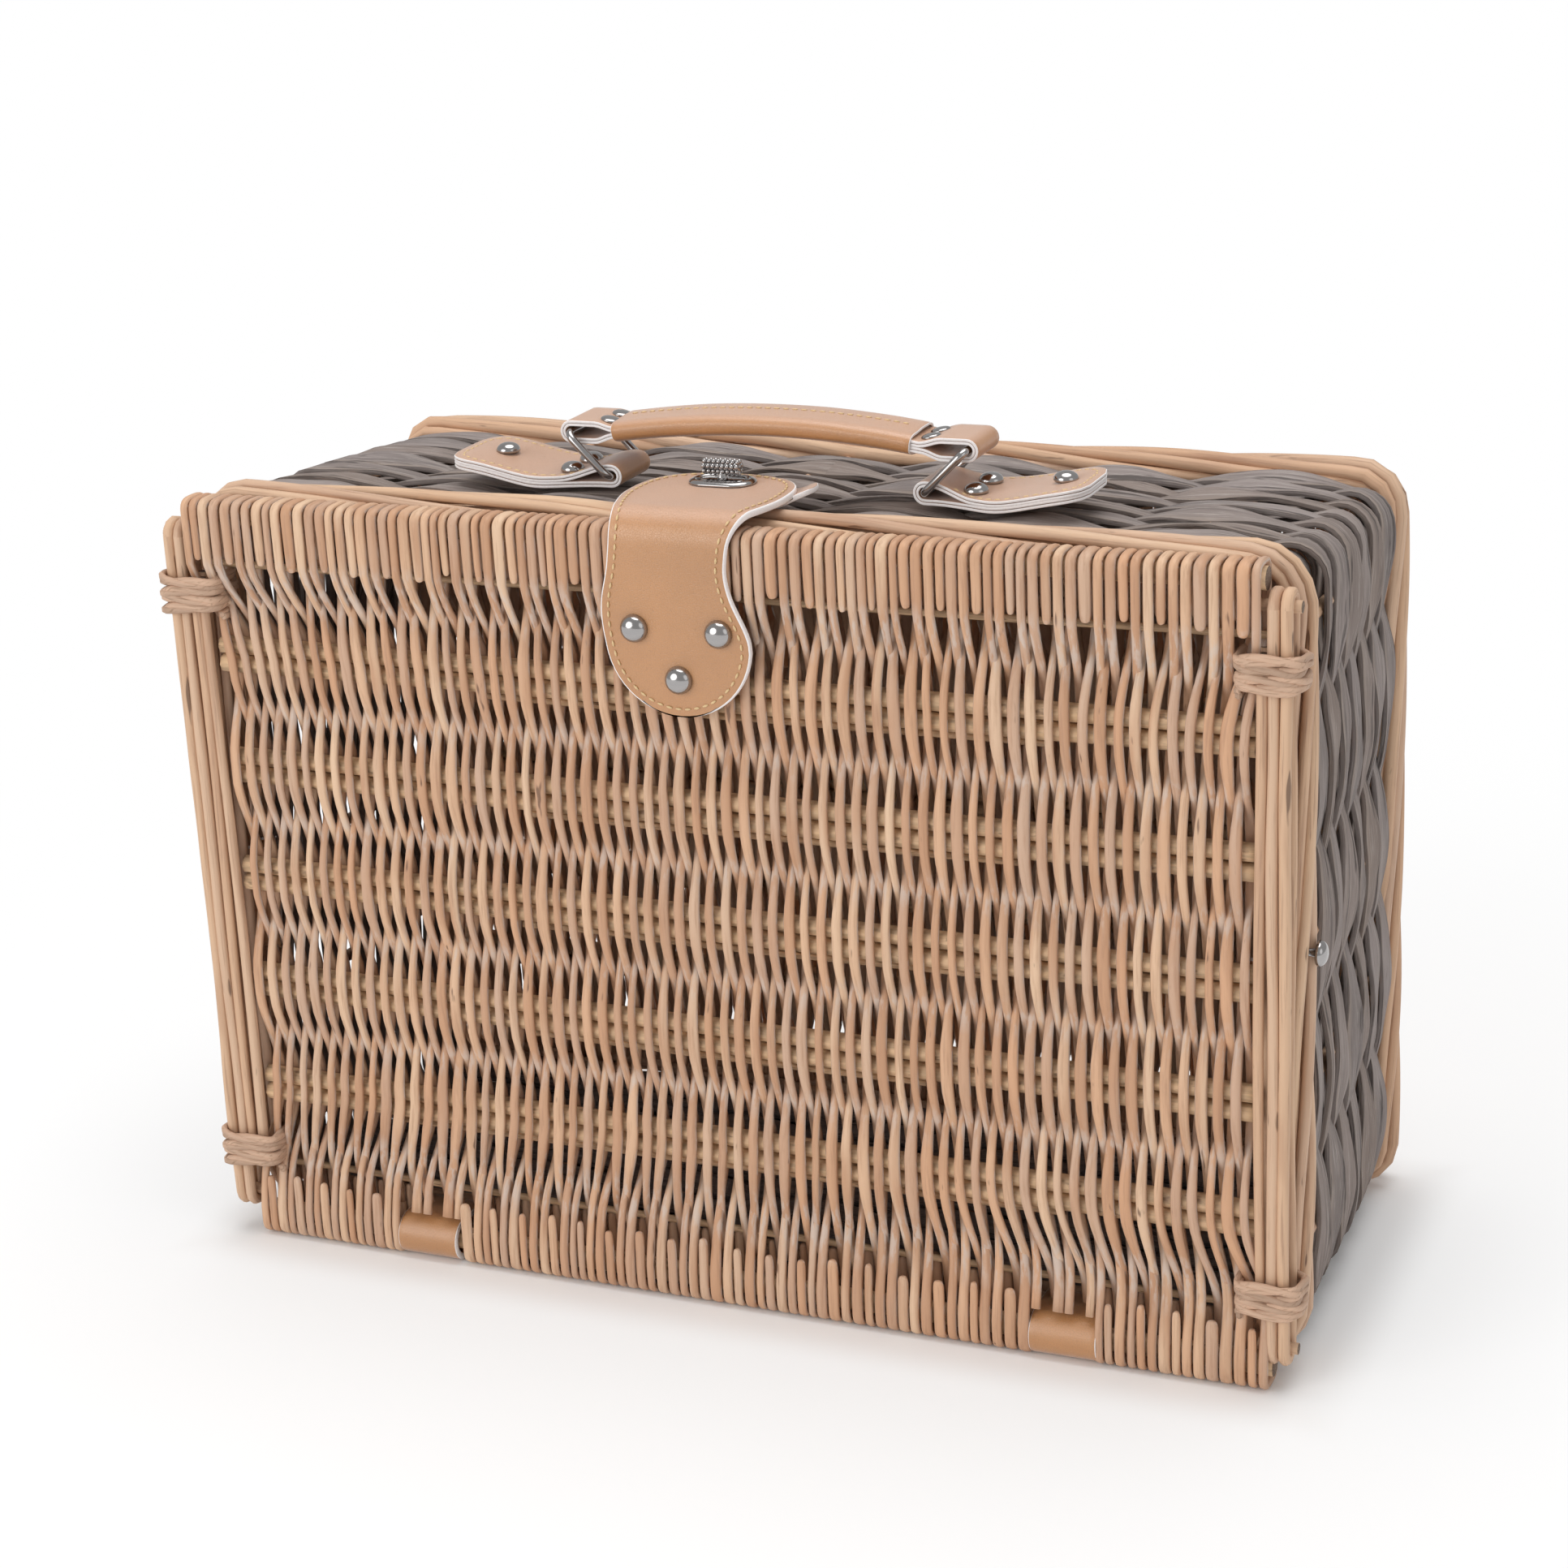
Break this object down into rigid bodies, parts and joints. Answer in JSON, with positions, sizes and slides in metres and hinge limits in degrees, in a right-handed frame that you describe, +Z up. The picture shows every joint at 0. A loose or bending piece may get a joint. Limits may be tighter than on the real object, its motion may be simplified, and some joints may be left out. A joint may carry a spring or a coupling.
{
  "type": "picnic basket",
  "caption": "Flat woven willow picnic hamper with chip-woven walls, hinged lid, leather turn-lock strap and a leather carrying handle on wire rings.",
  "frame": {"origin": "centre of the outline on the surface that the closed hamper stands on", "axes": "+X to the right along the lid, +Y from the lid to the base, +Z up to the handle"},
  "size_m": [0.445, 0.1984, 0.3325],
  "materials": {
    "willow": "bare split willow, satin",
    "willow_dark": "bare round willow with knots, satin",
    "chip_wood": "weathered split-wood strips, matte",
    "leather": "camel leather with pale cut edges, semi-gloss",
    "paper_cord": "twisted paper cord, matte",
    "chrome": "bright plated metal"
  },
  "bodies": {
    "basket": {"base_weave": "willow", "base_stick_pair_1": "willow_dark", "base_stick_pair_2": "willow_dark", "base_stick_pair_3": "willow_dark", "base_stick_pair_4": "willow_dark", "base_stick_pair_5": "willow_dark", "base_border": "willow", "stake_frame": "willow", "wall_band_1": "chip_wood", "wall_band_2": "chip_wood", "wall_band_3": "chip_wood", "wall_band_4": "chip_wood", "wall_band_5": "chip_wood", "rim_border": "willow", "hinge_strap_left": "leather", "hinge_strap_right": "leather", "lid_stay_left": "leather", "lid_stay_right": "leather", "stay_rivet_left": "chrome", "stay_rivet_right": "chrome", "handle_tab_left": "leather", "handle_tab_right": "leather", "tab_rivet_outer_left": "chrome", "tab_rivet_outer_right": "chrome", "tab_rivet_front_left": "chrome", "tab_rivet_front_right": "chrome", "tab_rivet_back_left": "chrome", "tab_rivet_back_right": "chrome", "lock_patch": "leather", "lock_plate": "chrome"},
    "lid": {"lid_weave": "willow", "lid_stick_1a": "willow_dark", "lid_stick_1b": "willow_dark", "lid_stick_2a": "willow_dark", "lid_stick_2b": "willow_dark", "lid_stick_3a": "willow_dark", "lid_stick_3b": "willow_dark", "lid_stick_4a": "willow_dark", "lid_stick_4b": "willow_dark", "lid_stick_5a": "willow_dark", "lid_stick_5b": "willow_dark", "lid_end_stick_top": "willow_dark", "lid_end_stick_bottom": "willow_dark", "lid_side_rods_left": "willow", "lid_side_rods_right": "willow", "lashing_bottom_left": "paper_cord", "lashing_bottom_right": "paper_cord", "lashing_top_left": "paper_cord", "lashing_top_right": "paper_cord", "closure_strap": "leather", "strap_rivet_left": "chrome", "strap_rivet_right": "chrome", "strap_rivet_low": "chrome"},
    "tongue": {"strap_tongue": "leather", "eyelet": "chrome"},
    "knob": {"turn_knob": "chrome"},
    "handle": {"handle_strap": "leather", "handle_grip": "leather"},
    "left_ring": {"ring_left": "chrome"},
    "right_ring": {"ring_right": "chrome"}
  },
  "joints": [
    {"name": "lid_hinge", "type": "hinge", "parent": "basket", "child": "lid", "pos_m": [0, -0.08303, 0.0085], "axis": [1, 0, 0], "range_deg": [0, 88], "deforming": ["lid_stay_left", "lid_stay_right"]},
    {"name": "tongue_lift", "type": "hinge", "parent": "lid", "child": "tongue", "pos_m": [-0.005, -0.08288, 0.3114], "axis": [1, 0, 0], "range_deg": [0, 95]},
    {"name": "knob_turn", "type": "hinge", "parent": "basket", "child": "knob", "pos_m": [-0.005, -0.04823, 0.3173], "axis": [0, 0, 1], "range_deg": [0, 90]},
    {"name": "handle_lift", "type": "slide", "parent": "basket", "child": "handle", "axis": [0, 0, 1], "range_m": [0, 0.005]},
    {"name": "ring_left_swing", "type": "hinge", "parent": "basket", "child": "left_ring", "pos_m": [-0.058, -0.01913, 0.30707], "axis": [0, 1, 0], "range_deg": [0, 24]},
    {"name": "ring_right_swing", "type": "hinge", "parent": "basket", "child": "right_ring", "pos_m": [0.066, -0.01913, 0.30707], "axis": [0, -1, 0], "range_deg": [0, 24]}
  ],
  "couplings": [
    {"joint": "ring_left_swing", "follows": "handle_lift", "rad_per_m": 81.4},
    {"joint": "ring_right_swing", "follows": "handle_lift", "rad_per_m": 81.4}
  ]
}
